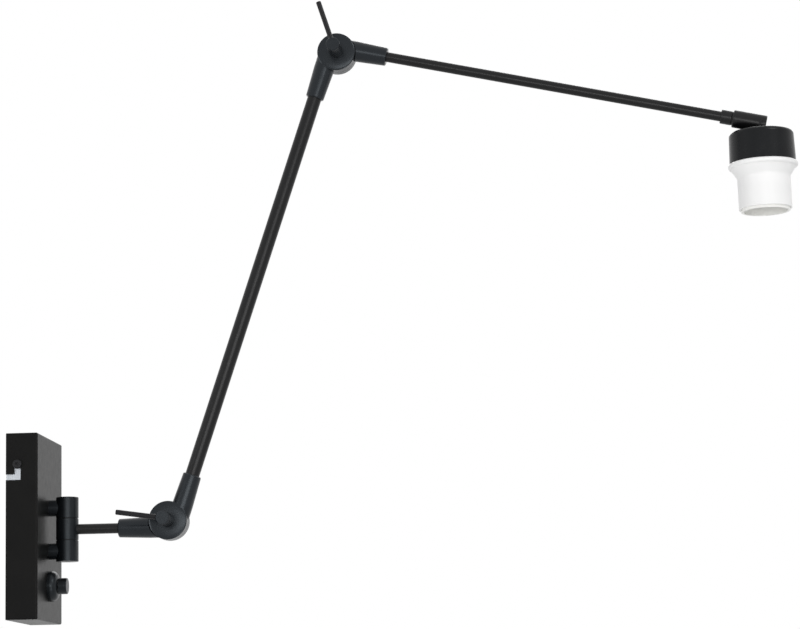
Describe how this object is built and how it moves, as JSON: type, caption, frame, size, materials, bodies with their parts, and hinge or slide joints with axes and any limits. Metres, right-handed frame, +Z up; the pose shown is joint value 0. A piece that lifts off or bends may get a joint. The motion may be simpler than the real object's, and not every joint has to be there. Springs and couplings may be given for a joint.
{
  "type": "articulating wall lamp",
  "caption": "Wall lamp on a switch box: a swinging short arm, two tube arms with clamp-lever elbows, and a swivelling, tilting lampholder head with a black cap and a white shade ring.",
  "frame": {"origin": "centre of the wall box's back, on the wall face", "axes": "+X points out of the wall, +Z up, +Y along the wall; at rest the arms lie in the plane Y = 0 and the clamp knobs point to -Y"},
  "size_m": [0.7737, 0.1212, 0.6035],
  "materials": {
    "box_paint": "satin powder coat",
    "black_metal": "satin",
    "tube_metal": "satin",
    "zinc": "bright zinc",
    "steel": "plain",
    "black_steel": "blackened",
    "aluminium": "anodised",
    "white_plastic": "smooth",
    "grey_plastic": "plain",
    "black_plastic": "plain",
    "cable_sheath": "plain",
    "brass": "plain"
  },
  "bodies": {
    "wall_unit": {"wall_bracket": "zinc", "wall_box": "box_paint", "cover_screws": "black_steel", "hinge_backing_plate": "steel", "upper_post": "black_metal", "lower_post": "black_metal", "post_nipples": "steel", "nipple_washers": "steel", "nipple_nuts": "steel", "upper_knuckle": "black_metal", "lower_knuckle": "black_metal", "hinge_washers": "black_plastic", "hinge_pin": "black_steel", "hinge_pin_plugs": "black_plastic", "dimmer_module": "black_plastic", "dimmer_rosette": "black_metal", "terminal_block": "white_plastic", "terminal_screws": "brass", "earth_screw": "brass", "mains_lead": "cable_sheath", "lamp_lead": "cable_sheath"},
    "short_arm": {"middle_knuckle": "black_metal", "short_arm": "tube_metal", "short_arm_cable": "cable_sheath", "short_arm_hub": "aluminium", "short_arm_grub_screw": "black_steel", "lower_elbow_bolt": "black_steel", "lower_elbow_friction_washer": "black_plastic"},
    "lower_arm": {"lower_arm_foot_hub": "aluminium", "lower_arm": "tube_metal", "lower_arm_cable": "cable_sheath", "lower_arm_head_hub": "aluminium", "lower_arm_grub_screws": "black_steel"},
    "upper_arm": {"upper_arm_hub": "aluminium", "upper_arm": "tube_metal", "upper_arm_cable": "cable_sheath", "upper_arm_grub_screw": "black_steel", "upper_elbow_bolt": "black_steel", "upper_elbow_friction_washer": "black_plastic", "swivel_collar": "black_metal", "swivel_washer": "black_plastic", "swivel_nut": "steel"},
    "lower_clamp": {"lower_elbow_knob": "aluminium", "lower_elbow_lever": "black_steel"},
    "upper_clamp": {"upper_elbow_knob": "aluminium", "upper_elbow_lever": "black_steel"},
    "head_swivel": {"swivel_sleeve": "black_metal", "tilt_pin": "black_steel", "tilt_spacers": "steel"},
    "head": {"tilt_stem": "steel", "head_cap": "black_metal", "stem_nut": "steel", "shade_ring": "white_plastic", "lampholder_body": "white_plastic", "contact_insulator": "grey_plastic", "screw_shell": "brass", "centre_contact": "brass", "head_lead": "cable_sheath"},
    "dimmer_knob": {"dimmer_knob": "black_metal", "dimmer_shaft": "steel"}
  },
  "joints": [
    {"name": "base_swing", "type": "hinge", "parent": "wall_unit", "child": "short_arm", "pos_m": [0.0484, 0, 0], "axis": [0, 0, 1], "range_deg": [-80, 90]},
    {"name": "lower_elbow", "type": "hinge", "parent": "short_arm", "child": "lower_arm", "pos_m": [0.1494, 0, 0.0059], "axis": [0, 1, 0], "range_deg": [-70, 115]},
    {"name": "upper_elbow", "type": "hinge", "parent": "lower_arm", "child": "upper_arm", "pos_m": [0.32156, 0, 0.46855], "axis": [0, 1, 0], "range_deg": [-130, 64]},
    {"name": "lower_clamp", "type": "hinge", "parent": "short_arm", "child": "lower_clamp", "pos_m": [0.1494, 0, 0.0059], "axis": [0, 1, 0], "range_deg": [-90, 0]},
    {"name": "upper_clamp", "type": "hinge", "parent": "upper_arm", "child": "upper_clamp", "pos_m": [0.32156, 0, 0.46855], "axis": [0, 1, 0], "range_deg": [-90, 0]},
    {"name": "head_swivel", "type": "hinge", "parent": "upper_arm", "child": "head_swivel", "pos_m": [0.71165, 0, 0.3879], "axis": [0.9762, 0, -0.217], "range_deg": [-160, 160]},
    {"name": "head_tilt", "type": "hinge", "parent": "head_swivel", "child": "head", "pos_m": [0.7385, 0, 0.38194], "axis": [0, 1, 0], "range_deg": [-75, 12]},
    {"name": "dimmer_turn", "type": "hinge", "parent": "wall_unit", "child": "dimmer_knob", "pos_m": [0.031, 0, -0.0553], "axis": [1, 0, 0], "range_deg": [-270, 0]}
  ]
}
